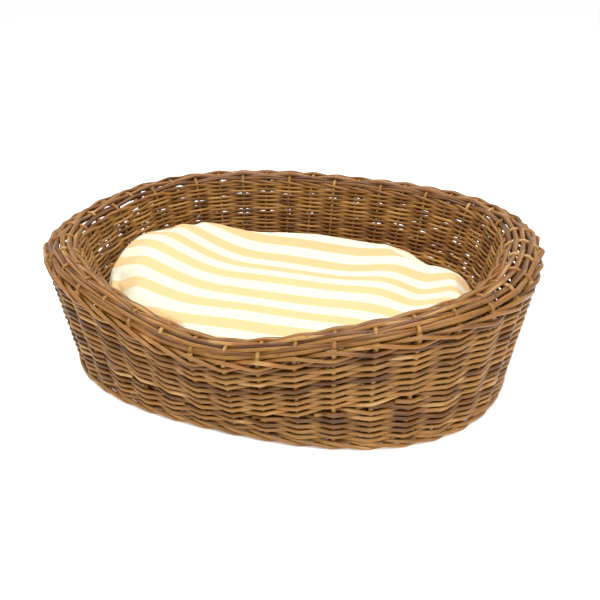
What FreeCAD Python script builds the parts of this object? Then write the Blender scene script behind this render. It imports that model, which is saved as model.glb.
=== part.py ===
# Wicker pet bed: a double-walled willow basket with a low front and a loose cushion.
# Units are millimetres. X runs the long way, the low front faces -Y and +Z is up.
# The origin is on the floor, under the middle of the basket.
import FreeCAD, Part
import math
import os

doc = FreeCAD.newDocument("wicker_pet_bed")
Vector = FreeCAD.Vector

# ---------------------------------------------------------------- driving sizes
dimensions = [
    ("overall_length", "750", "across the rim, the long way"),
    ("overall_width", "625", "across the rim, front to back"),
    ("oval_power", "2.47", "2 is a plain ellipse, more is squarer"),
    ("rim_height", "187", "floor to the outer edge of the rim, away from the front"),
    ("front_dip", "61", "how far the rim drops at the middle of the front"),
    ("dip_half_angle", "28", "degrees round from the front where the dip has mostly gone"),
    ("dip_power", "1.74", "shape of the dip, higher has steeper shoulders"),
    ("wall_flare", "33", "how far the outer wall leans out over its height"),
    ("rim_width_front", "52", "outer to inner edge of the rim at front and back"),
    ("rim_width_end", "67", "the same at the two ends"),
    ("rim_rise", "13.5", "how far the lining stakes arch above the rim's edges"),
    ("lining_slope", "0.25", "how far the lining leans in for each millimetre down"),
    ("stake_count", "42", "stakes round the wall, a multiple of six"),
    ("stake_crowding", "0.14", "how much closer the stakes stand at front and back"),
    ("stake_diameter", "5.2", "thick willow stakes of the outer wall"),
    ("weaver_diameter", "5.2", "rods woven round the outer wall"),
    ("wale_diameter", "5.6", "rods of the roped bands at foot and rim"),
    ("lining_stake_diameter", "3.8", "thin stakes that arch over the rim"),
    ("lining_weaver_diameter", "3.8", "thin rods woven round the inner wall"),
    ("rim_rod_diameter", "7.0", "thick rods woven over the top of the rim"),
    ("edge_rod_diameter", "3.6", "pair twisted along the inner edge of the rim"),
    ("base_stick_diameter", "7", "straight sticks across the base"),
    ("base_weaver_diameter", "5.6", "rods woven through the base sticks"),
    ("base_stick_pitch", "50", "distance between base sticks"),
    ("weave_clearance", "0.9", "gap between a rod and what it passes over"),
    ("row_gap", "0.45", "gap between one row of weaving and the next"),
    ("bend_radius", "9", "how tightly a rod bends round a stake"),
    ("lower_rows", "4", "full rows below the packing"),
    ("bye_length", "55", "how far a lining stake runs down beside its outer stake"),
    ("cushion_thickness", "66", "from the base to the top of the cushion"),
    ("cushion_clearance", "1.5", "gap between the cushion and the lining"),
    ("cover_thickness", "1.2", "cloth of the cushion cover with its wadding"),
]
sheet = doc.addObject("Spreadsheet::Sheet", "Dimensions")
for line, (alias, value, note) in enumerate(dimensions, start=1):
    sheet.set("A%d" % line, alias)
    sheet.set("B%d" % line, value)
    sheet.set("C%d" % line, note)
    sheet.setAlias("B%d" % line, alias)
doc.recompute()


def size(alias):
    return float(sheet.get(alias))


clearance = size("weave_clearance")
stake_r = size("stake_diameter") / 2
weaver_r = size("weaver_diameter") / 2
wale_r = size("wale_diameter") / 2
lining_stake_r = size("lining_stake_diameter") / 2
lining_weaver_r = size("lining_weaver_diameter") / 2
rim_rod_r = size("rim_rod_diameter") / 2
edge_rod_r = size("edge_rod_diameter") / 2
base_stick_r = size("base_stick_diameter") / 2
base_weaver_r = size("base_weaver_diameter") / 2
flare = size("wall_flare")
rim_height = size("rim_height")
slope = size("lining_slope")
count = int(size("stake_count"))

# How far the centre of a rod stands off the middle of the wall as it passes a stake.
weave_reach = stake_r + weaver_r + clearance
wale_reach = stake_r + wale_r + clearance
lining_reach = lining_stake_r + lining_weaver_r + clearance
rim_reach = lining_stake_r + rim_rod_r + clearance
edge_reach = lining_stake_r + edge_rod_r + clearance
base_reach = base_stick_r + base_weaver_r + clearance

wall_inset = wale_reach + wale_r          # from the rim's outer edge to the stakes
edge_inset = edge_reach + edge_rod_r      # from the rim's inner edge to the stakes
base_middle = base_reach + base_weaver_r + 0.8
base_top = base_middle + base_reach + base_weaver_r
wale_half = 0.68 * size("wale_diameter")  # half the rise of one roped band


# ------------------------------------------------------------------- plan shape
def oval_points(steps=7200):
    half_length = size("overall_length") / 2
    half_width = size("overall_width") / 2
    power = 2 / size("oval_power")
    points = []
    for step in range(steps + 1):
        angle = 2 * math.pi * step / steps - math.pi / 2
        c = math.cos(angle)
        s = math.sin(angle)
        x = half_length * math.copysign(abs(c) ** power, c)
        y = half_width * math.copysign(abs(s) ** power, s)
        points.append((x, y))
    return points


oval = oval_points()
run = [0.0]
for before, after in zip(oval, oval[1:]):
    run.append(run[-1] + math.hypot(after[0] - before[0], after[1] - before[1]))
perimeter = run[-1]


class Station:
    """One place round the basket, given as a turn of 0 to 1 from the front."""

    def __init__(self, turn):
        crowding = size("stake_crowding")
        even = turn - crowding * math.sin(4 * math.pi * turn) / (4 * math.pi)
        target = (even % 1.0) * perimeter
        low = 0
        high = len(run) - 1
        while high - low > 1:
            middle = (low + high) // 2
            if run[middle] <= target:
                low = middle
            else:
                high = middle
        share = (target - run[low]) / (run[high] - run[low])
        (x0, y0), (x1, y1) = oval[low], oval[high]
        length = math.hypot(x1 - x0, y1 - y0)
        self.edge = Vector(x0 + share * (x1 - x0), y0 + share * (y1 - y0), 0)
        self.along = Vector((x1 - x0) / length, (y1 - y0) / length, 0)
        self.out = Vector(self.along.y, -self.along.x, 0)
        half_angle = math.radians(size("dip_half_angle"))
        angle = math.atan2(self.edge.y / size("overall_width"), self.edge.x / size("overall_length"))
        away = abs(math.remainder(angle + math.pi / 2, 2 * math.pi))
        self.dip = math.exp(-((away / half_angle) ** size("dip_power")))
        self.rim = rim_height - size("front_dip") * self.dip
        ends = size("rim_width_end") - size("rim_width_front")
        self.width = size("rim_width_front") + ends * self.out.x ** 2

    def at(self, inset, height, sideways=0.0):
        """A point a distance inside the rim's outer edge, at a height."""
        point = self.edge - self.out * inset + self.along * sideways
        return Vector(point.x, point.y, height)

    def outer_wall(self, height):
        return wall_inset + flare * (1 - height / self.rim)

    def inner_wall(self, height):
        return self.width - edge_inset + slope * (self.rim - height)

    def arch(self, share, lift=0.0):
        """Inset and height on the arch of the rim, lifted off it squarely."""
        chord = self.width - edge_inset - wall_inset
        rise = size("rim_rise")
        radius = (chord ** 2 / 4 + rise ** 2) / (2 * rise)
        half = math.atan2(chord / 2, radius - rise)
        angle = (2 * share - 1) * half
        middle = wall_inset + chord / 2
        inset = middle + (radius + lift) * math.sin(angle)
        height = self.rim + rise - radius + (radius + lift) * math.cos(angle)
        return inset, height


stations = [Station((i + 0.5) / count) for i in range(count)]
gaps = [Station((i + 1.0) / count) for i in range(count)]
for i, gap in enumerate(gaps):
    gap.rim = (stations[i].rim + stations[(i + 1) % count].rim) / 2


# ------------------------------------------------------------------ bent rods
def rod(points, radius, bend=None):
    """A round rod along straight runs joined by arcs tangent to both runs."""
    bend = bend or size("bend_radius")
    runs = len(points) - 1
    directions = [(points[i + 1] - points[i]).normalize() for i in range(runs)]
    lengths = [(points[i + 1] - points[i]).Length for i in range(runs)]
    edges = []
    leave = points[0]
    for i in range(1, runs):
        turn = directions[i - 1].getAngle(directions[i])
        if turn < 1e-3:
            continue
        room = 0.46 * min(lengths[i - 1], lengths[i])
        radius_here = min(bend, room / math.tan(turn / 2))
        reach = radius_here * math.tan(turn / 2)
        start = points[i] - directions[i - 1] * reach
        end = points[i] + directions[i] * reach
        inward = (directions[i] - directions[i - 1]).normalize()
        depth = radius_here / math.cos(turn / 2) - radius_here
        edges.append(Part.LineSegment(leave, start).toShape())
        edges.append(Part.Arc(start, points[i] + inward * depth, end).toShape())
        leave = end
    edges.append(Part.LineSegment(leave, points[-1]).toShape())
    path = Part.Wire(edges)
    ring = Part.Wire([Part.Circle(points[0], directions[0], radius).toShape()])
    return path.makePipeShell([ring], True, False)


def hoop(points, radius, tucked, bend=None):
    """Two rods that go once round, each starting and ending tucked behind a stake."""
    total = len(points)
    first = tucked[0]
    second = min(tucked, key=lambda i: abs(i - first - total / 2))
    rods = []
    for begin, finish in ((first, second), (second, first + total)):
        part = [Vector(points[i % total]) for i in range(begin, finish + 1)]
        trim = 0.25 * radius + 0.2
        part[0] = part[0] + (part[1] - part[0]).normalize() * trim
        part[-1] = part[-1] + (part[-2] - part[-1]).normalize() * trim
        rods.append(rod(part, radius, bend))
    return rods


def side(i, phase):
    """A woven rod passes outside one stake and inside the next."""
    return 1 if (i + phase) % 2 == 0 else -1


def tucked_stakes(phase, first):
    """The stakes that a row passes inside, counted from one of them."""
    start = first % count
    if side(start, phase) > 0:
        start += 1
    return list(range(start, start + count, 2))


def wale(place, radius, reach):
    """Three rods, each outside two stakes and inside the third, roped together."""
    rods = []
    for phase in range(3):
        points = []
        tucked = []
        for i in range(count):
            step = (i + phase) % 3
            if step == 2:
                tucked.append(len(points))
            depth = -reach if step == 2 else reach
            rise = (wale_half, -wale_half, 0.0)[step]
            points.append(place(stations[i], depth, rise))
            depth = (reach, 0.0, 0.0)[step]
            rise = (0.0, -wale_half, wale_half)[step]
            points.append(place(gaps[i], depth, rise))
        rods += hoop(points, radius, tucked[2 * phase:], bend=8)
    return rods


# A stake and the lining stake beside it share the width between two rods.
pair_gap = 0.2
stake_shift = -(lining_stake_r + pair_gap / 2)
lining_shift = stake_r + pair_gap / 2
wall_shift = 0.5 * stake_shift

# --------------------------------------------------------------- outer basket
foot_wale_middle = wale_half + wale_r
foot_top = 2 * foot_wale_middle
rim_wale_drop = 5.0


def foot_place(station, depth, rise):
    height = foot_wale_middle + rise
    return station.at(station.outer_wall(height) - depth, height, stake_shift)


def rim_wale_place(station, depth, rise):
    height = station.rim - rim_wale_drop + rise
    return station.at(station.outer_wall(height) - depth, height, wall_shift)


foot_wale = wale(foot_place, wale_r, wale_reach)
rim_wale = wale(rim_wale_place, wale_r, wale_reach)

outer_stakes = []
for station in stations:
    foot = station.at(station.outer_wall(1.0), 1.0, stake_shift)
    top_height = station.rim + 1.5
    top = station.at(station.outer_wall(top_height), top_height, stake_shift)
    outer_stakes.append(rod([foot, top], stake_r))

lining_stakes = []
for station in stations:
    start = station.rim - size("bye_length")
    points = [station.at(station.outer_wall(start), start, lining_shift)]
    for share in (0.0, 0.17, 0.34, 0.5, 0.66, 0.83, 1.0):
        inset, height = station.arch(share)
        points.append(station.at(inset, height, lining_shift))
    end = base_top + 0.3
    points.append(station.at(station.inner_wall(end), end, lining_shift))
    lining_stakes.append(rod(points, lining_stake_r))


def woven_rows(bottom, top_of, inset_of, radius, reach, pitch, lower, shift):
    """Rows between a level bottom and the rim: full rows below and above, and
    between them short rows of packing that fill the height away from the front."""
    room = [top_of(station) - bottom for station in stations]
    fitted = [int(space // pitch) for space in room]
    full = min(fitted)
    pitches = [space / rows for space, rows in zip(room, fitted)]
    packing = [rows - full for rows in fitted]

    def point(i, level, phase):
        station = stations[i]
        height = bottom + pitches[i] * (level + 0.5)
        return station.at(inset_of(station, height) - side(i, phase) * reach, height, shift)

    lower_rods = []
    for level in range(lower):
        points = [point(i, level, level) for i in range(count)]
        lower_rods += hoop(points, radius, tucked_stakes(level, 5 * level))
    upper_rods = []
    for step in range(full - lower):
        points = []
        for i in range(count):
            points.append(point(i, lower + packing[i] + step, lower + step))
        upper_rods += hoop(points, radius, tucked_stakes(lower + step, 5 * step))
    short_rods = []
    for step in range(max(packing)):
        level = lower + step
        held = [i for i in range(count) if packing[i] > step]
        first = held[0]
        last = held[-1]
        points = [point(i, level, step) for i in range(first, last + 1)]
        ends = []
        for inner, beyond in ((first, first - 1), (last, last + 1)):
            dropped = packing[inner] - packing[beyond % count]
            share = 0.8 * (packing[inner] - 1 - step) / dropped if dropped else 0
            share = max(0.08, share)
            here = point(inner, level, step)
            there = point(beyond % count, level, step)
            ends.append(here + (there - here) * share)
        points = [ends[0]] + points + [ends[1]]
        short_rods.append(rod(points, radius))
    return lower_rods, short_rods, upper_rods


def outer_top(station):
    return station.rim - rim_wale_drop - wale_half - wale_r - 0.8


outer_lower, outer_packing, outer_upper = woven_rows(
    foot_top + 0.2, outer_top, Station.outer_wall, weaver_r, weave_reach,
    size("weaver_diameter") + size("row_gap"), int(size("lower_rows")), wall_shift)

# ------------------------------------------------------------------------- rim
rim_shares = [0.155 + 0.155 * row for row in range(5)]


def rim_point(i, share, phase):
    station = stations[i]
    inset, height = station.arch(share, side(i, phase) * rim_reach)
    return station.at(inset, height, lining_shift)


rim_rods = []
for row, share in enumerate(rim_shares):
    points = [rim_point(i, share, row) for i in range(count)]
    rim_rods.append(hoop(points, rim_rod_r, tucked_stakes(row, 9 * row)))

edge_share = 0.965
edge_pair = []
for phase in range(2):
    points = []
    for i in range(count):
        inset, height = stations[i].arch(edge_share, side(i, phase) * edge_reach)
        points.append(stations[i].at(inset, height, lining_shift))
        inset, height = gaps[i].arch(edge_share)
        turn = side(i, phase) * (edge_rod_r + 0.4)
        points.append(gaps[i].at(inset - turn * 0.5, height + turn, lining_shift))
    tucked = [2 * i for i in tucked_stakes(phase, 7 * phase)]
    edge_pair += hoop(points, edge_rod_r, tucked, bend=8)


# --------------------------------------------------------------- inner basket
def lining_top(station):
    return station.rim - edge_reach - edge_rod_r - 1.0


lining_lower, lining_packing, lining_upper = woven_rows(
    base_top + 0.4, lining_top, Station.inner_wall, lining_weaver_r, lining_reach,
    size("lining_weaver_diameter") + 2 * size("row_gap"), int(size("lower_rows")), lining_shift)


# ------------------------------------------------------------------------ base
def plan_curve(inset, steps=720):
    return [Station(step / steps).at(inset, 0) for step in range(steps)]


base_inset = wall_inset + flare + wale_reach + wale_r + 1.3
base_edge = plan_curve(base_inset)


def reach_at(value, along):
    """Half the width of the base at a place along its other axis."""
    other = "y" if along == "x" else "x"
    best = 0.0
    total = len(base_edge)
    for i in range(total):
        p = base_edge[i]
        q = base_edge[(i + 1) % total]
        a = getattr(p, along)
        b = getattr(q, along)
        if (a - value) * (b - value) <= 0 and a != b:
            share = (value - a) / (b - a)
            best = max(best, getattr(p, other) * (1 - share) + getattr(q, other) * share)
    return best


base_half_length = max(point.x for point in base_edge)
base_half_width = max(point.y for point in base_edge)
stick_pitch = size("base_stick_pitch")
side_sticks = int((base_half_length - 20) // stick_pitch)
base_sticks = []
stick_places = [stick_pitch * n for n in range(-side_sticks, side_sticks + 1)]
for x in stick_places:
    half = reach_at(x, "x")
    points = [Vector(x, -half, base_middle), Vector(x, half, base_middle)]
    base_sticks.append(rod(points, base_stick_r))

base_pitch = size("base_weaver_diameter") + 2 * size("row_gap")
side_rows = int((base_half_width - 4) // base_pitch)
base_weavers = []
for row in range(-side_rows, side_rows + 1):
    y = row * base_pitch
    half = reach_at(y, "y")
    places = [x for x in stick_places if abs(x) < half - 6]
    half = min(half, places[-1] + stick_pitch - base_stick_r - 0.6)
    points = []
    for x in places:
        number = stick_places.index(x)
        points.append(Vector(x, y, base_middle + side(number, row) * base_reach))
    share = (half - places[-1]) / stick_pitch
    end_z = points[0].z + 2 * (base_middle - points[0].z) * share
    points = [Vector(-half, y, end_z)] + points + [Vector(half, y, end_z)]
    base_weavers.append(rod(points, base_weaver_r))

# --------------------------------------------------------------------- cushion
cushion_bottom = base_top + 0.6
cushion_gap = lining_reach + lining_weaver_r + size("cushion_clearance")


def pad(shrink):
    """A soft oval pad that follows the lean of the lining."""
    bottom = cushion_bottom + shrink
    top = cushion_bottom + size("cushion_thickness") - shrink
    height = top - bottom
    rings = []
    for share, tuck in ((0.0, 34), (0.08, 14), (0.28, 1.5), (0.55, 0), (0.82, 4), (0.95, 15), (1.0, 31)):
        z = bottom + share * height
        level = min(z, cushion_bottom + 0.55 * size("cushion_thickness"))
        points = []
        for station in stations:
            inset = station.inner_wall(level) + cushion_gap + tuck + shrink
            points.append(station.at(inset, z))
        curve = Part.BSplineCurve()
        curve.interpolate(points, PeriodicFlag=True)
        rings.append(Part.Wire([curve.toShape()]))
    return Part.makeLoft(rings, True, False)


cushion_outside = pad(0.0)
cushion_filling = pad(size("cover_thickness"))
cushion_cover = cushion_outside.cut(cushion_filling)


# ------------------------------------------------------------- document objects
def piece(label, solids):
    feature = doc.addObject("Part::Feature", label)
    feature.Label = label
    feature.Shape = solids[0] if len(solids) == 1 else Part.makeCompound(solids)
    feature.Placement = FreeCAD.Placement()
    return feature


pieces = [
    piece("foot_wale", foot_wale),
    piece("base_sticks", base_sticks),
    piece("base_weavers", base_weavers),
    piece("outer_stakes", outer_stakes),
    piece("outer_weave_lower", outer_lower),
    piece("outer_packing", outer_packing),
    piece("outer_weave_upper", outer_upper),
    piece("rim_wale", rim_wale),
    piece("rim_rod_1", rim_rods[0]),
    piece("rim_rod_2", rim_rods[1]),
    piece("rim_rod_3", rim_rods[2]),
    piece("rim_rod_4", rim_rods[3]),
    piece("rim_rod_5", rim_rods[4]),
    piece("rim_inner_pair", edge_pair),
    piece("lining_stakes", lining_stakes),
    piece("lining_weave_upper", lining_upper),
    piece("lining_packing", lining_packing),
    piece("lining_weave_lower", lining_lower),
    piece("cushion_cover", cushion_cover.Solids),
    piece("cushion_filling", cushion_filling.Solids),
]
doc.recompute()

# --------------------------------------------------------------- check and write
os.makedirs("parts", exist_ok=True)
for feature in pieces:
    shape = feature.Shape
    if shape.isNull() or not shape.isValid():
        raise RuntimeError("bad shape: " + feature.Label)
    if "Invalid" in feature.State or "Error" in feature.State:
        raise RuntimeError("bad state: " + feature.Label)
for feature in pieces:
    feature.Shape.exportStep("parts/%s.step" % feature.Label)
    print(feature.Label, len(feature.Shape.Solids), "solids", round(feature.Shape.Volume / 1000), "cm3")
box = Part.makeCompound([feature.Shape for feature in pieces]).BoundBox
print("overall", box)
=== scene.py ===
import bisect
import math
import random

import bmesh
import bpy
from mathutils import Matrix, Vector, noise


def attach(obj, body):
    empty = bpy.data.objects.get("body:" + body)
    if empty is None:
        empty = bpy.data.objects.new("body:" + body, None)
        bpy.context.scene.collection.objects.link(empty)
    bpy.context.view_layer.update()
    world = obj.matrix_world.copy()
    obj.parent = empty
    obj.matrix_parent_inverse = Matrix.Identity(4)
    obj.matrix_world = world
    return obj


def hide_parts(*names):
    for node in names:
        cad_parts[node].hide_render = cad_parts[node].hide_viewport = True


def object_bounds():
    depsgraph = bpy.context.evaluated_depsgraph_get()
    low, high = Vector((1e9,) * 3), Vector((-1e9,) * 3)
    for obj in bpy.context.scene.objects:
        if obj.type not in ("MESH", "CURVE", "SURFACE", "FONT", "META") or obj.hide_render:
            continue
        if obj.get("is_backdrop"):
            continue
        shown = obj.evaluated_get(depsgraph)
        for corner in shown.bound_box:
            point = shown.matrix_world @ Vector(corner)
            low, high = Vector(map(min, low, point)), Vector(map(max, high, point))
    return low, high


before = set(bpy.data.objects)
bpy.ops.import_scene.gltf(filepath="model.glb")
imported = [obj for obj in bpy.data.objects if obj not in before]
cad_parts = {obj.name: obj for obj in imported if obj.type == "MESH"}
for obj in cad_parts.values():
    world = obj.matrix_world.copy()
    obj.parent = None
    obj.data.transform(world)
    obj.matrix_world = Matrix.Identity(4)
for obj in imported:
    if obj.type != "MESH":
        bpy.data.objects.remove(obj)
cad_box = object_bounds()
scene = bpy.context.scene


# ---------------------------------------------------------------------------
# Floor, light and camera. None of this is part of the basket: it stands on a
# white sweep of paper under large soft lamps.
# ---------------------------------------------------------------------------
scene.view_settings.view_transform = "Standard"

FLOOR_SIZE = 40.0
FLOOR_DROP = 0.0004
GLOW = 0.42
SHADED_OVAL = (0.345, 0.285)
GLOW_STARTS, GLOW_FULL = 0.86, 1.04

paper = bpy.data.materials.new("studio_paper")
paper.use_nodes = True
paper_shader = paper.node_tree.nodes["Principled BSDF"]
paper_shader.inputs["Base Color"].default_value = (0.93, 0.935, 0.94, 1)
paper_shader.inputs["Roughness"].default_value = 0.9
paper_shader.inputs["Specular IOR Level"].default_value = 0.1
paper_shader.inputs["Emission Color"].default_value = (1, 1, 1, 1)


def ranged(tree, value, start, end, low=0.0, high=1.0):
    """A Map Range node: value goes from start..end to low..high."""
    node = tree.nodes.new("ShaderNodeMapRange")
    tree.links.new(value, node.inputs["Value"])
    node.inputs["From Min"].default_value = start
    node.inputs["From Max"].default_value = end
    node.inputs["To Min"].default_value = low
    node.inputs["To Max"].default_value = high
    return node.outputs["Result"]


# The paper glows a little, so that it is white, but not under the basket.
paper_tree = paper.node_tree
floor_place = paper_tree.nodes.new("ShaderNodeTexCoord")
squeeze = paper_tree.nodes.new("ShaderNodeMapping")
squeeze.inputs["Scale"].default_value = (1 / SHADED_OVAL[0], 1 / SHADED_OVAL[1], 1)
from_middle = paper_tree.nodes.new("ShaderNodeVectorMath")
from_middle.operation = "LENGTH"
paper_tree.links.new(floor_place.outputs["Object"], squeeze.inputs["Vector"])
paper_tree.links.new(squeeze.outputs["Vector"], from_middle.inputs[0])
glow = ranged(paper_tree, from_middle.outputs["Value"], GLOW_STARTS, GLOW_FULL, 0.0, GLOW)
paper_tree.links.new(glow, paper_shader.inputs["Emission Strength"])

sweep = bmesh.new()
bmesh.ops.create_grid(sweep, x_segments=1, y_segments=1, size=FLOOR_SIZE)
bmesh.ops.translate(sweep, verts=sweep.verts, vec=(0, 0, -FLOOR_DROP))
floor_mesh = bpy.data.meshes.new("floor")
sweep.to_mesh(floor_mesh)
sweep.free()
floor_mesh.materials.append(paper)
floor = bpy.data.objects.new("floor", floor_mesh)
scene.collection.objects.link(floor)
floor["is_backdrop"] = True

world = bpy.data.worlds.new("studio")
scene.world = world
world.use_nodes = True
world.node_tree.nodes["Background"].inputs["Color"].default_value = (1.0, 1.0, 1.0, 1)
world.node_tree.nodes["Background"].inputs["Strength"].default_value = 0.6


def softbox(name, place, aim, width, height, power, colour):
    lamp = bpy.data.lights.new(name, "AREA")
    lamp.shape = "RECTANGLE"
    lamp.size = width
    lamp.size_y = height
    lamp.energy = power
    lamp.color = colour
    box = bpy.data.objects.new(name, lamp)
    box.location = place
    box.rotation_euler = (Vector(aim) - Vector(place)).to_track_quat("-Z", "Y").to_euler()
    scene.collection.objects.link(box)
    box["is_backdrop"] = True


softbox("key", (0.9, -1.6, 2.6), (0, 0, 0.1), 1.6, 1.2, 62, (1.0, 0.985, 0.96))
softbox("top", (-0.6, 0.9, 2.6), (0, 0, 0.1), 2.4, 2.0, 48, (1.0, 1.0, 1.0))

camera_data = bpy.data.cameras.new("camera")
camera_data.sensor_width = 36
camera_data.lens = 45
camera = bpy.data.objects.new("camera", camera_data)
scene.collection.objects.link(camera)
scene.camera = camera
VIEW_TURN = math.radians(20.69)
VIEW_TILT = math.radians(24.91)
VIEW_DISTANCE = 1.2098
VIEW_MIDDLE = Vector((0.0108, 0.0, 0.077))
away = Vector((
    math.sin(VIEW_TURN) * math.cos(VIEW_TILT),
    -math.cos(VIEW_TURN) * math.cos(VIEW_TILT),
    math.sin(VIEW_TILT)))
camera.location = VIEW_MIDDLE + away * VIEW_DISTANCE
camera.rotation_euler = (-away).to_track_quat("-Z", "Y").to_euler()
camera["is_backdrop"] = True


# ---------------------------------------------------------------------------
# Outer stakes: thick rods of boiled brown willow that stand round the foot and
# lean outwards. They are pushed into the base, everything else is woven round
# them, and their tops show as small knobs under the rim.
# ---------------------------------------------------------------------------
LENGTH, WIDTH = 0.750, 0.625
SQUARENESS = 2.47
RIM_HEIGHT = 0.187
FRONT_DIP = 0.061
DIP_ANGLE = math.radians(28)
DIP_POWER = 1.74
FLARE = 0.033
RIM_WIDTH_FRONT, RIM_WIDTH_END = 0.052, 0.067
RIM_RISE = 0.0150
LINING_SLOPE = 0.25
WALL_INSET = 0.0091
EDGE_INSET = 0.0064
STAKES = 42
STAKE_CROWDING = 0.14
STAKE_R = 0.0031
KNOB_R = 0.0037
STAKE_FOOT = 0.001
STAKE_ABOVE_RIM = 0.002
OVAL_STEPS = 7200


def oval_run():
    """Points round the rim's outer edge, and the length run up to each."""
    points = []
    for step in range(OVAL_STEPS + 1):
        angle = 2 * math.pi * step / OVAL_STEPS - math.pi / 2
        c, s = math.cos(angle), math.sin(angle)
        x = LENGTH / 2 * math.copysign(abs(c) ** (2 / SQUARENESS), c)
        y = WIDTH / 2 * math.copysign(abs(s) ** (2 / SQUARENESS), s)
        points.append(Vector((x, y, 0)))
    lengths = [0.0]
    for a, b in zip(points, points[1:]):
        lengths.append(lengths[-1] + (b - a).length)
    return points, lengths


oval, oval_length = oval_run()


class Station:
    """One place round the rim, as a turn of 0 to 1 from the middle of the front."""

    def __init__(self, turn):
        crowding = STAKE_CROWDING * math.sin(4 * math.pi * turn) / (4 * math.pi)
        goal = (turn - crowding) % 1.0 * oval_length[-1]
        high = bisect.bisect_right(oval_length, goal)
        low = high - 1
        share = (goal - oval_length[low]) / (oval_length[high] - oval_length[low])
        self.edge = oval[low].lerp(oval[high], share)
        along = (oval[high] - oval[low]).normalized()
        self.out = Vector((along.y, -along.x, 0))
        angle = math.atan2(self.edge.y / WIDTH, self.edge.x / LENGTH) + math.pi / 2
        away_from_front = abs(math.remainder(angle, 2 * math.pi))
        self.rim = RIM_HEIGHT - FRONT_DIP * math.exp(-((away_from_front / DIP_ANGLE) ** DIP_POWER))
        self.width = RIM_WIDTH_FRONT + (RIM_WIDTH_END - RIM_WIDTH_FRONT) * self.out.x ** 2

    def at(self, inset, height):
        point = self.edge - self.out * inset
        return Vector((point.x, point.y, height))

    def outer_wall(self, height):
        return WALL_INSET + FLARE * (1 - height / self.rim)

    def inner_wall(self, height):
        return self.width - EDGE_INSET + LINING_SLOPE * (self.rim - height)

    def arch(self, share, lift=0.0):
        """A place on the rolled rim, from its outer side at 0 to its inner side at 1."""
        chord = self.width - EDGE_INSET - WALL_INSET
        radius = (chord ** 2 / 4 + RIM_RISE ** 2) / (2 * RIM_RISE)
        half = math.atan2(chord / 2, radius - RIM_RISE)
        angle = (2 * share - 1) * half
        inset = WALL_INSET + chord / 2 + (radius + lift) * math.sin(angle)
        return inset, self.rim + RIM_RISE - radius + (radius + lift) * math.cos(angle)


stations = [Station((i + 0.5) / STAKES) for i in range(STAKES)]
gaps = [Station((i + 1.0) / STAKES) for i in range(STAKES)]
for i, gap in enumerate(gaps):
    gap.rim = (stations[i].rim + stations[(i + 1) % STAKES].rim) / 2

pick = random.Random(11)


def soften(points):
    """Rounds the corners of a rod's path the way green willow bends."""
    inner = [
        points[i - 1] * 0.25 + points[i] * 0.5 + points[i + 1] * 0.25
        for i in range(1, len(points) - 1)
    ]
    return [points[0]] + inner + [points[-1]]


def spaced(points, step):
    """The same path with a point about every step."""
    result = []
    for a, b in zip(points, points[1:]):
        count = max(1, round((b - a).length / step))
        result += [a.lerp(b, n / count) for n in range(count)]
    return result + [points[-1]]


SWELL = 0.09
SWELLS_PER_METRE = 14


def willow_piece(name, rods, material, node, sides=8):
    """One object from rods, each given as its path and its butt and tip radius."""
    joined = bmesh.new()
    tone = joined.verts.layers.float.new("tone")
    uv = joined.loops.layers.uv.new("grain")
    for path, butt, tip in rods:
        curve = bpy.data.curves.new("rod", "CURVE")
        curve.dimensions = "3D"
        curve.bevel_depth = 1.0
        curve.bevel_resolution = (sides - 4) // 2
        curve.use_fill_caps = True
        curve.twist_mode = "MINIMUM"
        spline = curve.splines.new("POLY")
        spline.points.add(len(path) - 1)
        lengths = [0.0]
        for a, b in zip(path, path[1:]):
            lengths.append(lengths[-1] + (b - a).length)
        seed = Vector((pick.uniform(0, 90), pick.uniform(0, 90), 0))
        for n, (knot, point) in enumerate(zip(spline.points, path)):
            share = lengths[n] / lengths[-1]
            swell = noise.noise(seed + Vector((lengths[n] * SWELLS_PER_METRE, 0, 0)))
            knot.co = (*point, 1)
            knot.radius = (butt + (tip - butt) * share) * (1 + SWELL * swell)
        holder = bpy.data.objects.new("rod", curve)
        scene.collection.objects.link(holder)
        mesh = bpy.data.meshes.new_from_object(holder)
        first = len(joined.verts)
        first_face = len(joined.faces)
        joined.from_mesh(mesh)
        joined.verts.ensure_lookup_table()
        joined.faces.ensure_lookup_table()
        rod_tone = pick.random()
        own_uv = mesh.uv_layers[0].data
        for n in range(len(mesh.vertices)):
            joined.verts[first + n][tone] = rod_tone
        offset = pick.uniform(0, 40)
        for n in range(first_face, len(joined.faces)):
            face = joined.faces[n]
            source = mesh.polygons[n - first_face]
            face.smooth = True
            for loop, corner in zip(face.loops, source.loop_indices):
                here = own_uv[corner].uv
                loop[uv].uv = (here[0] * lengths[-1] + offset, here[1])
        bpy.data.objects.remove(holder)
        bpy.data.curves.remove(curve)
        bpy.data.meshes.remove(mesh)
    bmesh.ops.remove_doubles(joined, verts=joined.verts, dist=0.00001)
    mesh = bpy.data.meshes.new(name)
    joined.to_mesh(mesh)
    joined.free()
    mesh.materials.append(material)
    piece = bpy.data.objects.new(name, mesh)
    scene.collection.objects.link(piece)
    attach(piece, "basket")
    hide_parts(node)


def maths(tree, operation, *values):
    """A Math node. Each value is a number or another node's output."""
    node = tree.nodes.new("ShaderNodeMath")
    node.operation = operation
    for socket, value in zip(node.inputs, values):
        if isinstance(value, (int, float)):
            socket.default_value = value
        else:
            tree.links.new(value, socket)
    return node.outputs[0]


def blotches(tree, vector, scale, detail):
    """Noise of 0 to 1."""
    texture = tree.nodes.new("ShaderNodeTexNoise")
    texture.inputs["Scale"].default_value = scale
    texture.inputs["Detail"].default_value = detail
    tree.links.new(vector, texture.inputs["Vector"])
    return texture.outputs["Fac"]


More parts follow.
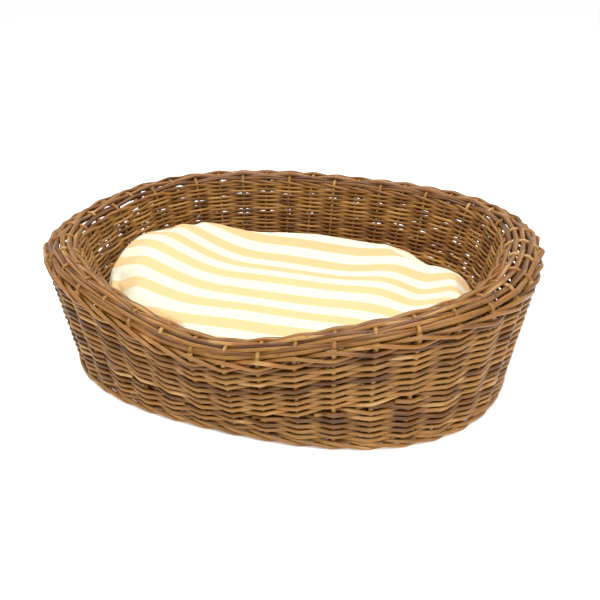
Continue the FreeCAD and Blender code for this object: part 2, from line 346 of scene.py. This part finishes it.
def roughened(tree, shader, height, strength, distance):
    """Gives a surface fine relief."""
    bump = tree.nodes.new("ShaderNodeBump")
    bump.inputs["Strength"].default_value = strength
    bump.inputs["Distance"].default_value = distance
    tree.links.new(height, bump.inputs["Height"])
    tree.links.new(bump.outputs["Normal"], shader.inputs["Normal"])


def willow(name, tones, gloss=0.42):
    """Boiled and varnished willow: every rod its own brown, blotched and
    streaked along its length, under a thin satin varnish."""
    material = bpy.data.materials.new(name)
    material.use_nodes = True
    tree = material.node_tree
    shader = tree.nodes["Principled BSDF"]
    rod = tree.nodes.new("ShaderNodeAttribute")
    rod.attribute_name = "tone"
    grain = tree.nodes.new("ShaderNodeUVMap")
    grain.uv_map = "grain"

    def marks(along, around, detail):
        """Noise with so many marks to a metre of rod and to a turn round it."""
        mapping = tree.nodes.new("ShaderNodeMapping")
        mapping.inputs["Scale"].default_value = (along, around, 1)
        tree.links.new(grain.outputs["UV"], mapping.inputs["Vector"])
        return blotches(tree, mapping.outputs["Vector"], 1.0, detail)

    long_blotch = marks(18, 0.7, 2)
    streak = marks(35, 9, 3)
    blemish = marks(70, 2.2, 2)
    rod_range, darkest, blotch_range, streak_range, blemish_drop = 0.75, 0.12, 1.5, 0.45, 0.35
    shade = maths(tree, "MULTIPLY_ADD", rod.outputs["Fac"], rod_range, darkest)
    for pattern, reach in ((long_blotch, blotch_range), (streak, streak_range)):
        shift = maths(tree, "MULTIPLY", maths(tree, "SUBTRACT", pattern, 0.5), reach)
        shade = maths(tree, "ADD", shade, shift)
    shade = maths(tree, "ADD", shade, ranged(tree, blemish, 0.64, 0.72, 0.0, -blemish_drop))
    ramp = tree.nodes.new("ShaderNodeValToRGB")
    ramp.color_ramp.elements.remove(ramp.color_ramp.elements[0])
    for n, tone in enumerate(tones):
        place = n / (len(tones) - 1)
        element = ramp.color_ramp.elements[0] if n == 0 else ramp.color_ramp.elements.new(place)
        element.position = place
        element.color = (*tone, 1)
    tree.links.new(shade, ramp.inputs["Fac"])
    tree.links.new(ramp.outputs["Color"], shader.inputs["Base Color"])
    roughness = ranged(tree, streak, 0.0, 1.0, gloss - 0.1, gloss + 0.14)
    tree.links.new(roughness, shader.inputs["Roughness"])
    shader.inputs["Specular IOR Level"].default_value = 0.35
    shader.inputs["Coat Weight"].default_value = 0.12
    shader.inputs["Coat Roughness"].default_value = 0.3
    roughened(tree, shader, streak, 0.35, 0.0005)
    return material


wall_tones = [
    (0.092, 0.034, 0.005),
    (0.165, 0.066, 0.011),
    (0.240, 0.106, 0.020),
    (0.320, 0.160, 0.040),
    (0.330, 0.140, 0.025),
    (0.500, 0.290, 0.100),
]
wall_willow = willow("wall_willow", wall_tones)
stake_willow = willow("stake_willow", wall_tones[2:] + [(0.50, 0.30, 0.11)])

STAKE_STEP = 0.012
stakes = []
for station in stations:
    top_height = station.rim + STAKE_ABOVE_RIM
    foot = station.at(station.outer_wall(STAKE_FOOT), STAKE_FOOT)
    top = station.at(station.outer_wall(top_height), top_height)
    stakes.append((spaced([foot, top], STAKE_STEP), STAKE_R, KNOB_R))
willow_piece("outer_stake_rods", stakes, stake_willow, "outer_stakes")


# ---------------------------------------------------------------------------
# Foot wale: three stouter willow rods roped round the foot, each outside two
# stakes and inside the third. It grips the stakes, and the basket stands on it.
# ---------------------------------------------------------------------------
WALE_R = 0.0028
WALE_HALF = 0.0038
WALE_REACH = 0.0063
FOOT_MIDDLE = WALE_HALF + WALE_R
WALE_BUTT, WALE_TIP = WALE_R * 1.08, WALE_R * 0.9
ROD_STEP = 0.006


def hoop(points, tucked):
    """Splits a closed round of points at two of the places behind stakes."""
    total = len(points)
    first = tucked[0]
    second = min(tucked, key=lambda i: abs(i - first - total / 2))
    for begin, finish in ((first, second), (second, first + total)):
        yield [points[i % total].copy() for i in range(begin, finish + 1)]


def wale(place, half, crossing):
    """Three rods, each over two stakes and behind the third, a stake apart."""
    rods = []
    for phase in range(3):
        points = []
        tucked = []
        for i in range(STAKES):
            place_in_three = (i + phase) % 3
            if place_in_three == 2:
                tucked.append(len(points))
            depth = -WALE_REACH if place_in_three == 2 else WALE_REACH
            points.append(place(stations[i], depth, (half, -half, 0)[place_in_three]))
            depth = (WALE_REACH, 0, 0)[place_in_three]
            points.append(place(gaps[i], depth, (0, -crossing, crossing)[place_in_three]))
        for part in hoop(points, tucked[2 * phase:]):
            rods.append((soften(spaced(part, ROD_STEP)), WALE_BUTT, WALE_TIP))
    return rods


def foot_place(station, depth, rise):
    height = FOOT_MIDDLE + rise
    return station.at(station.outer_wall(height) - depth, height)


willow_piece(
    "foot_wale_rods", wale(foot_place, WALE_HALF, WALE_HALF), wall_willow,
    "foot_wale")


# ---------------------------------------------------------------------------
# Outer weave: willow rods taken outside one stake and inside the next, and beaten
# down. Full rows run below and above, and short rows of packing between them lift
# the back and ends. Rods end behind a stake.
# ---------------------------------------------------------------------------
WEAVER_R = 0.0028
WEAVER_REACH = 0.0060
WEAVER_PITCH = 0.0048
WEAVER_LOOSE = 0.0004
LOWER_ROWS = 4
WEAVE_UNDER_RIM = 0.0150
TURN_BACK, SHORTEST_TAIL = 0.8, 0.08
THINNEST, STOUTEST = 0.92, 1.1
BUTT, TIP = 1.07, 0.9


def side(i, phase):
    """1 where a row passes outside a stake, -1 where it passes inside."""
    return 1 if (i + phase) % 2 == 0 else -1


def tucked_stakes(phase, first):
    """The stakes that a row passes inside, where its rods can meet unseen."""
    start = first % STAKES
    if side(start, phase) > 0:
        start += 1
    return list(range(start, start + STAKES, 2))


def woven_rows(bottom, top_of, inset_of, radius, reach, pitch, lower, loose, step=ROD_STEP):
    """Lower full rows, short packing rows and upper full rows of one wall. As many
    rows as fit go in at each stake, and the packing makes up the difference."""
    room = [top_of(station) - bottom for station in stations]
    fitted = [int(space // pitch) for space in room]
    full = min(fitted)
    pitches = [space / rows for space, rows in zip(room, fitted)]
    packing = [rows - full for rows in fitted]

    def point(i, level, phase):
        station = stations[i]
        height = bottom + pitches[i] * (level + 0.5) + pick.gauss(0, loose)
        depth = side(i, phase) * reach + pick.gauss(0, loose * 0.6)
        return station.at(inset_of(station, height) - depth, height)

    def thickness():
        stout = pick.uniform(THINNEST, STOUTEST)
        return radius * stout * BUTT, radius * stout * TIP

    lower_rods = []
    for level in range(lower):
        points = [point(i, level, level) for i in range(STAKES)]
        for part in hoop(points, tucked_stakes(level, 5 * level)):
            lower_rods.append((soften(spaced(part, step)), *thickness()))
    upper_rods = []
    for n in range(full - lower):
        points = [point(i, lower + packing[i] + n, lower + n) for i in range(STAKES)]
        for part in hoop(points, tucked_stakes(lower + n, 5 * n)):
            upper_rods.append((soften(spaced(part, step)), *thickness()))
    short_rods = []
    for n in range(max(packing)):
        held = [i for i in range(STAKES) if packing[i] > n]
        first, last = held[0], held[-1]
        points = [point(i, lower + n, n) for i in range(first, last + 1)]
        ends = []
        for inner, beyond in ((first, first - 1), (last, last + 1)):
            dropped = packing[inner] - packing[beyond % STAKES]
            share = TURN_BACK * (packing[inner] - 1 - n) / dropped if dropped else 0
            here = point(inner, lower + n, n)
            there = point(beyond % STAKES, lower + n, n)
            ends.append(here.lerp(there, max(SHORTEST_TAIL, share)))
        points = [ends[0]] + points + [ends[1]]
        short_rods.append((soften(spaced(points, step)), *thickness()))
    return lower_rods, short_rods, upper_rods


def outer_top(station):
    return station.rim - WEAVE_UNDER_RIM


outer_lower, outer_short, outer_upper = woven_rows(
    2 * FOOT_MIDDLE, outer_top, Station.outer_wall, WEAVER_R,
    WEAVER_REACH, WEAVER_PITCH, LOWER_ROWS, WEAVER_LOOSE)
for name, rods, node in (
    ("outer_weave_lower_rods", outer_lower, "outer_weave_lower"),
    ("outer_packing_rods", outer_short, "outer_packing"),
    ("outer_weave_upper_rods", outer_upper, "outer_weave_upper"),
):
    willow_piece(name, rods, wall_willow, node)


# ---------------------------------------------------------------------------
# Rim wale: the same roped band of three rods round the outer top edge. It locks
# the tops of the stakes, which show between its rods as small knobs.
# ---------------------------------------------------------------------------
rim_tones = [
    (0.085, 0.029, 0.004),
    (0.160, 0.060, 0.010),
    (0.235, 0.098, 0.018),
    (0.300, 0.136, 0.028),
    (0.300, 0.112, 0.018),
    (0.470, 0.256, 0.080),
]
rim_willow = willow("rim_willow", rim_tones, gloss=0.36)
RIM_WALE_DROP = 0.0062
RIM_WALE_HALF = 0.0070
RIM_WALE_CROSSING = 0.0040


def rim_wale_place(station, depth, rise):
    height = station.rim - RIM_WALE_DROP + rise
    return station.at(station.outer_wall(height) - depth, height)


willow_piece(
    "rim_wale_rods", wale(rim_wale_place, RIM_WALE_HALF, RIM_WALE_CROSSING), rim_willow,
    "rim_wale")


# ---------------------------------------------------------------------------
# Lining stakes: thinner willow rods pushed down behind the outer stakes. They arch
# over the rim, bend a little round its rods, and run down inside as the stakes of
# the inner wall.
# ---------------------------------------------------------------------------
BASE_TOP = 0.0200
ABOVE_BASE = 0.0003
LINING_STAKE_R = 0.0023
LINING_STAKE_BUTT, LINING_STAKE_TIP = LINING_STAKE_R * 1.4, LINING_STAKE_R * 0.9
PUSHED_DOWN = 0.055
BEHIND_STAKE, BEHIND_TOP = 0.0045, 0.0042
BEND_STARTS = 0.004
ARCH_START, ARCH_END = 0.05, 0.90
RIM_ROWS = 5
FIRST_ROW, ROW_APART = 0.125, 0.167
STAKE_BEND = 0.0020


def rim_share(row):
    """Where a rim row crosses the rolled rim, from its outer to its inner side."""
    return FIRST_ROW + ROW_APART * row


lining_stake_rods = []
for i, station in enumerate(stations):
    start = station.rim - PUSHED_DOWN
    points = [station.at(station.outer_wall(start) + BEHIND_STAKE, start)]
    points.append(station.at(WALL_INSET + BEHIND_TOP, station.rim - BEND_STARTS))
    points.append(station.at(*station.arch(ARCH_START)))
    for row in range(RIM_ROWS):
        points.append(station.at(*station.arch(rim_share(row), -side(i, row) * STAKE_BEND)))
    points.append(station.at(*station.arch(ARCH_END)))
    points.append(station.at(*station.arch(1.0)))
    end = BASE_TOP + ABOVE_BASE
    points.append(station.at(station.inner_wall(end), end))
    path = soften(spaced(points, ROD_STEP))
    lining_stake_rods.append((path, LINING_STAKE_BUTT, LINING_STAKE_TIP))
willow_piece(
    "lining_stake_rods", lining_stake_rods, stake_willow, "lining_stakes")


# ---------------------------------------------------------------------------
# Rim rods: five rows of doubled willow rods woven over and under the arched
# lining stakes, which make the rolled top of the basket. The two rods of a row lie
# closer together round the basket's ends.
# ---------------------------------------------------------------------------
RIM_ROD_R = 0.0028
RIM_REACH = 0.0030
RIM_BUTT, RIM_TIP = RIM_ROD_R * 1.08, RIM_ROD_R * 0.92
STRANDS_APART, CLOSER_AT_ENDS = 0.0021, 0.0012
EDGE_MARGIN = 0.006
RIM_LOOSE = 0.0003
for row in range(RIM_ROWS):
    rods = []
    for strand in (-1, 1):
        points = []
        for i, station in enumerate(stations):
            apart = STRANDS_APART - CLOSER_AT_ENDS * station.out.x ** 2
            share = rim_share(row) + strand * apart / (station.width - EDGE_MARGIN)
            inset, height = station.arch(share, side(i, row) * RIM_REACH)
            points.append(station.at(inset, height + pick.gauss(0, RIM_LOOSE)))
        for part in hoop(points, tucked_stakes(row, 9 * row + 4 * strand)):
            rods.append((soften(spaced(part, ROD_STEP)), RIM_BUTT, RIM_TIP))
    node = "rim_rod_%d" % (row + 1)
    willow_piece(node + "_willow", rods, rim_willow, node)


# ---------------------------------------------------------------------------
# Inner edge pair: two thin willow rods twisted round each other between the lining
# stakes. They grip the stakes where these turn down from the rim.
# ---------------------------------------------------------------------------
EDGE_R = 0.0023
EDGE_PLACE = 0.960
EDGE_REACH = LINING_STAKE_R + EDGE_R + 0.0004
EDGE_TWIST = EDGE_R + 0.0002
EDGE_BUTT, EDGE_TIP = EDGE_R * 1.15, EDGE_R * 0.95
pair = []
for phase in range(2):
    points = []
    for i in range(STAKES):
        inset, height = stations[i].arch(EDGE_PLACE, side(i, phase) * EDGE_REACH)
        points.append(stations[i].at(inset, height))
        inset, height = gaps[i].arch(EDGE_PLACE)
        twist = side(i, phase) * EDGE_TWIST
        points.append(gaps[i].at(inset - twist * 0.5, height + twist))
    for part in hoop(points, [2 * i for i in tucked_stakes(phase, 7 * phase)]):
        pair.append((soften(spaced(part, ROD_STEP)), EDGE_BUTT, EDGE_TIP))
willow_piece("rim_inner_pair_rods", pair, rim_willow, "rim_inner_pair")


# ---------------------------------------------------------------------------
# Lining weave: thinner, paler willow rods woven round the lining stakes in full
# rows and packing, as on the outside. It isn't beaten as tight, and specks of
# daylight show between the rows.
# ---------------------------------------------------------------------------
lining_tones = [
    (0.110, 0.040, 0.006),
    (0.205, 0.084, 0.014),
    (0.290, 0.130, 0.024),
    (0.380, 0.185, 0.042),
    (0.520, 0.280, 0.085),
]
lining_willow = willow("lining_willow", lining_tones, gloss=0.48)
LINING_WEAVER_R = 0.0023
LINING_REACH = 0.0042
LINING_PITCH = 0.0035
LINING_LOOSE = 0.0003
LINING_LOWER_ROWS = 5
LINING_STEP = 0.0065
LINING_BOTTOM = BASE_TOP + 0.0004
LINING_UNDER_RIM = 0.0003


def lining_top(station):
    return station.rim - LINING_UNDER_RIM


lining_lower, lining_short, lining_upper = woven_rows(
    LINING_BOTTOM, lining_top, Station.inner_wall, LINING_WEAVER_R,
    LINING_REACH, LINING_PITCH, LINING_LOWER_ROWS, LINING_LOOSE, LINING_STEP)
for name, rods, node in (
    ("lining_weave_lower_rods", lining_lower, "lining_weave_lower"),
    ("lining_packing_rods", lining_short, "lining_packing"),
    ("lining_weave_upper_rods", lining_upper, "lining_weave_upper"),
):
    willow_piece(name, rods, lining_willow, node, sides=6)


# ---------------------------------------------------------------------------
# Base: straight willow sticks across, with thinner rods woven through them the
# long way and cut at the edge. The foot wale holds it all round.
# ---------------------------------------------------------------------------
base_willow = willow("base_willow", lining_tones, gloss=0.55)
BASE_STICK_R, BASE_WEAVER_R = 0.0035, 0.0028
BASE_REACH = BASE_STICK_R + BASE_WEAVER_R + 0.0005
BASE_MIDDLE = BASE_REACH + BASE_WEAVER_R + 0.0008
STICK_PITCH = 0.050
ROW_PITCH = 0.0065
STICK_BUTT, STICK_TIP = BASE_STICK_R * 1.04, BASE_STICK_R * 0.94
WEAVER_BUTT, WEAVER_TIP = BASE_WEAVER_R * 1.08, BASE_WEAVER_R * 0.94
STICK_STEP, BASE_STEP = 0.03, 0.009
FROM_END, FROM_SIDE = 0.02, 0.004
ON_LAST_STICK = 0.006
END_GAP = 0.0006
BASE_LOOSE = 0.0002
EDGE_POINTS = 720
base_inset = WALL_INSET + FLARE + WALE_REACH + WALE_R + 0.0013
base_edge = [Station(n / EDGE_POINTS).at(base_inset, 0) for n in range(EDGE_POINTS)]


def reach_at(value, axis):
    """How far the base goes the other way, at a place along one axis."""
    best = 0.0
    for p, q in zip(base_edge, base_edge[1:] + base_edge[:1]):
        if (p[axis] - value) * (q[axis] - value) <= 0 and p[axis] != q[axis]:
            share = (value - p[axis]) / (q[axis] - p[axis])
            best = max(best, p.lerp(q, share)[1 - axis])
    return best


side_sticks = int((max(p.x for p in base_edge) - FROM_END) // STICK_PITCH)
stick_places = [STICK_PITCH * n for n in range(-side_sticks, side_sticks + 1)]
sticks = []
for x in stick_places:
    half = reach_at(x, 0)
    ends = [Vector((x, -half, BASE_MIDDLE)), Vector((x, half, BASE_MIDDLE))]
    sticks.append((spaced(ends, STICK_STEP), STICK_BUTT, STICK_TIP))
willow_piece("base_stick_rods", sticks, base_willow, "base_sticks")

side_rows = int((max(p.y for p in base_edge) - FROM_SIDE) // ROW_PITCH)
weavers = []
for row in range(-side_rows, side_rows + 1):
    y = row * ROW_PITCH
    half = reach_at(y, 1)
    places = [x for x in stick_places if abs(x) < half - ON_LAST_STICK]
    half = min(half, places[-1] + STICK_PITCH - BASE_STICK_R - END_GAP)
    points = []
    for x in places:
        number = stick_places.index(x)
        height = BASE_MIDDLE + side(number, row) * BASE_REACH
        points.append(Vector((x, y + pick.gauss(0, BASE_LOOSE), height)))
    share = (half - places[-1]) / STICK_PITCH
    end = points[0].z + 2 * (BASE_MIDDLE - points[0].z) * share
    points = [Vector((-half, y, end))] + points + [Vector((half, y, end))]
    if row % 2:
        points.reverse()
    weavers.append((soften(spaced(points, BASE_STEP)), WEAVER_BUTT, WEAVER_TIP))
willow_piece(
    "base_weaver_rods", weavers, base_willow, "base_weavers", sides=6)


# ---------------------------------------------------------------------------
# Cushion: a soft loose pad of wadding in a striped cotton cover. It isn't fixed,
# only pushed down into the basket, so its edge follows the inner wall.
# ---------------------------------------------------------------------------
CREAM = (0.80, 0.78, 0.60, 1)
APRICOT = (0.80, 0.56, 0.27, 1)
# The apricot as painted shade, for the back of the cushion.
APRICOT_IN_PAINTED_SHADE = (0.78, 0.47, 0.23, 1)
STRIPE_PAIR = 0.050
STRIPE_SWAY = 0.030
STRIPE_SKEW = 0.085
SIDE_TOP = 0.095

cloth = bpy.data.materials.new("cushion_cloth")
cloth.use_nodes = True
tree = cloth.node_tree
cloth_shader = tree.nodes["Principled BSDF"]
place = tree.nodes.new("ShaderNodeTexCoord").outputs["Object"]
split = tree.nodes.new("ShaderNodeSeparateXYZ")
tree.links.new(place, split.inputs["Vector"])
across, along, up = split.outputs["X"], split.outputs["Y"], split.outputs["Z"]
from_above = tree.nodes.new("ShaderNodeMapping")
from_above.inputs["Scale"].default_value = (1, 1, 0)
tree.links.new(place, from_above.inputs["Vector"])
drift = blotches(tree, from_above.outputs["Vector"], 3.2, 1.0)
thread = maths(tree, "MULTIPLY_ADD", drift, STRIPE_SWAY, along)

# The stripes are carried on down the front and back sides.
drop = maths(tree, "SUBTRACT", up, SIDE_TOP)
for side_start, side_end, way in ((-0.140, -0.185, 1.0), (0.190, 0.215, -1.0)):
    on_side = ranged(tree, along, side_start, side_end, 0.0, way)
    thread = maths(tree, "MULTIPLY_ADD", drop, on_side, thread)

# Towards the front they run a little askew.
askew = ranged(tree, along, 0.06, -0.16, 0.0, -STRIPE_SKEW)
thread = maths(tree, "MULTIPLY_ADD", across, askew, thread)
stripe = maths(tree, "SINE", maths(tree, "MULTIPLY", thread, 2 * math.pi / STRIPE_PAIR))


def stripe_and_shade_mix(share, first, second):
    """Mixes two colours, or a colour and another mix."""
    mix = tree.nodes.new("ShaderNodeMix")
    mix.data_type = "RGBA"
    tree.links.new(share, mix.inputs["Factor"])
    mix.inputs["A"].default_value = first
    if isinstance(second, tuple):
        mix.inputs["B"].default_value = second
    else:
        tree.links.new(second, mix.inputs["B"])
    return mix.outputs["Result"]


# Painted shade: the apricot stripes darken towards the back of the cushion.
apricot_with_painted_shade = stripe_and_shade_mix(ranged(tree, along, 0.02, 0.22), APRICOT, APRICOT_IN_PAINTED_SHADE)
colour = stripe_and_shade_mix(ranged(tree, stripe, -0.12, 0.12), CREAM, apricot_with_painted_shade)
tree.links.new(colour, cloth_shader.inputs["Base Color"])
cloth_shader.inputs["Roughness"].default_value = 0.85
cloth_shader.inputs["Specular IOR Level"].default_value = 0.25
cloth_shader.inputs["Sheen Weight"].default_value = 0.15
roughened(tree, cloth_shader, blotches(tree, place, 900, 2), 0.12, 0.0004)

pad = bmesh.new()
pad.from_mesh(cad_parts["cushion_filling"].data)
bmesh.ops.remove_doubles(pad, verts=pad.verts, dist=0.00005)
pad_mesh = bpy.data.meshes.new("cushion")
pad.to_mesh(pad_mesh)
pad.free()
cushion = bpy.data.objects.new("cushion", pad_mesh)
scene.collection.objects.link(cushion)


def settle(piece, modifier):
    """Keeps the shape a modifier gives, and takes the modifier away."""
    shown = piece.evaluated_get(bpy.context.evaluated_depsgraph_get())
    shaped = bpy.data.meshes.new_from_object(shown)
    piece.modifiers.remove(modifier)
    piece.data = shaped


def ease(value, start, end):
    """0 at the start, 1 at the end, and level at both."""
    share = min(1.0, max(0.0, (value - start) / (end - start)))
    return share * share * (3 - 2 * share)


def hump(x, y, middle_x, middle_y, reach_x, reach_y):
    """A soft rise, 1 at its middle."""
    return math.exp(-((x - middle_x) / reach_x) ** 2 - ((y - middle_y) / reach_y) ** 2)


remesh = cushion.modifiers.new("even", "REMESH")
remesh.mode = "VOXEL"
remesh.voxel_size = 0.006
settle(cushion, remesh)
relax = cushion.modifiers.new("relax", "SMOOTH")
relax.iterations = 6
settle(cushion, relax)

# The filling is bunched up against the left end and a little at the right, with
# a soft ridge across the right half.
UNDERSIDE, TOP_EDGE = 0.022, 0.080
LEFT_RISE, LEFT_STARTS, LEFT_RUN = 0.095, 0.10, 0.19
RIGHT_RISE = 0.026
BACK_RISE = 0.020
BUMPS = (
    (0.010, 0.13, 0.10, 0.045, 0.12),
    (-0.006, 0.20, 0.03, 0.035, 0.10),
    (0.006, 0.00, 0.00, 0.20, 0.05),
    (-0.006, 0.02, 0.10, 0.16, 0.04),
    (0.004, -0.02, -0.11, 0.12, 0.04),
)
for vertex in cushion.data.vertices:
    x, y, z = vertex.co
    up_left = max(0.0, min(1.0, (-x - LEFT_STARTS) / LEFT_RUN)) ** 2
    lift = LEFT_RISE * up_left * (0.74 + 0.26 * ease(y, -0.14, 0.04))
    lift += RIGHT_RISE * ease(x, 0.18, 0.27)
    lift += BACK_RISE * ease(y, 0.06, 0.20)
    for height, *spot in BUMPS:
        lift += height * hump(x, y, *spot)
    share = ease(z, UNDERSIDE, TOP_EDGE)
    vertex.co.z = z + lift * share
    # The wall leans out towards the rim, so the raised edge spreads with it.
    spread = 1 + LINING_SLOPE * lift * share / max(0.1, math.hypot(x, y))
    vertex.co.x = x * spread
    vertex.co.y = y * spread

# The cover is blown up a little and pulls itself smooth, as sewn cloth does.
FRAMES = 20
FURTHEST = 0.016
before = [vertex.co.copy() for vertex in cushion.data.vertices]
cotton = cushion.modifiers.new("cotton", "CLOTH")
cotton.settings.quality = 5
cotton.settings.mass = 0.25
cotton.settings.tension_stiffness = 25
cotton.settings.compression_stiffness = 25
cotton.settings.shear_stiffness = 10
cotton.settings.bending_stiffness = 0.4
cotton.settings.shrink_min = -0.035
cotton.settings.shrink_max = -0.035
cotton.settings.use_pressure = True
cotton.settings.uniform_pressure_force = 3.0
cotton.settings.effector_weights.gravity = 0
cotton.collision_settings.use_collision = False
cotton.point_cache.frame_start = 1
cotton.point_cache.frame_end = FRAMES
for step in range(1, FRAMES + 1):
    scene.frame_set(step)
settle(cushion, cotton)
for vertex, was in zip(cushion.data.vertices, before):
    moved = vertex.co - was
    if moved.length > FURTHEST:
        vertex.co = was + moved * (FURTHEST / moved.length)
scene.frame_set(1)
finer = cushion.modifiers.new("finer", "SUBSURF")
finer.levels = 1
finer.render_levels = 1
settle(cushion, finer)
cushion.data.materials.clear()
cushion.data.materials.append(cloth)
for face in cushion.data.polygons:
    face.use_smooth = True
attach(cushion, "cushion")
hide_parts("cushion_cover", "cushion_filling")

boxes = [[list(corner) for corner in box] for box in (cad_box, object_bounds())]
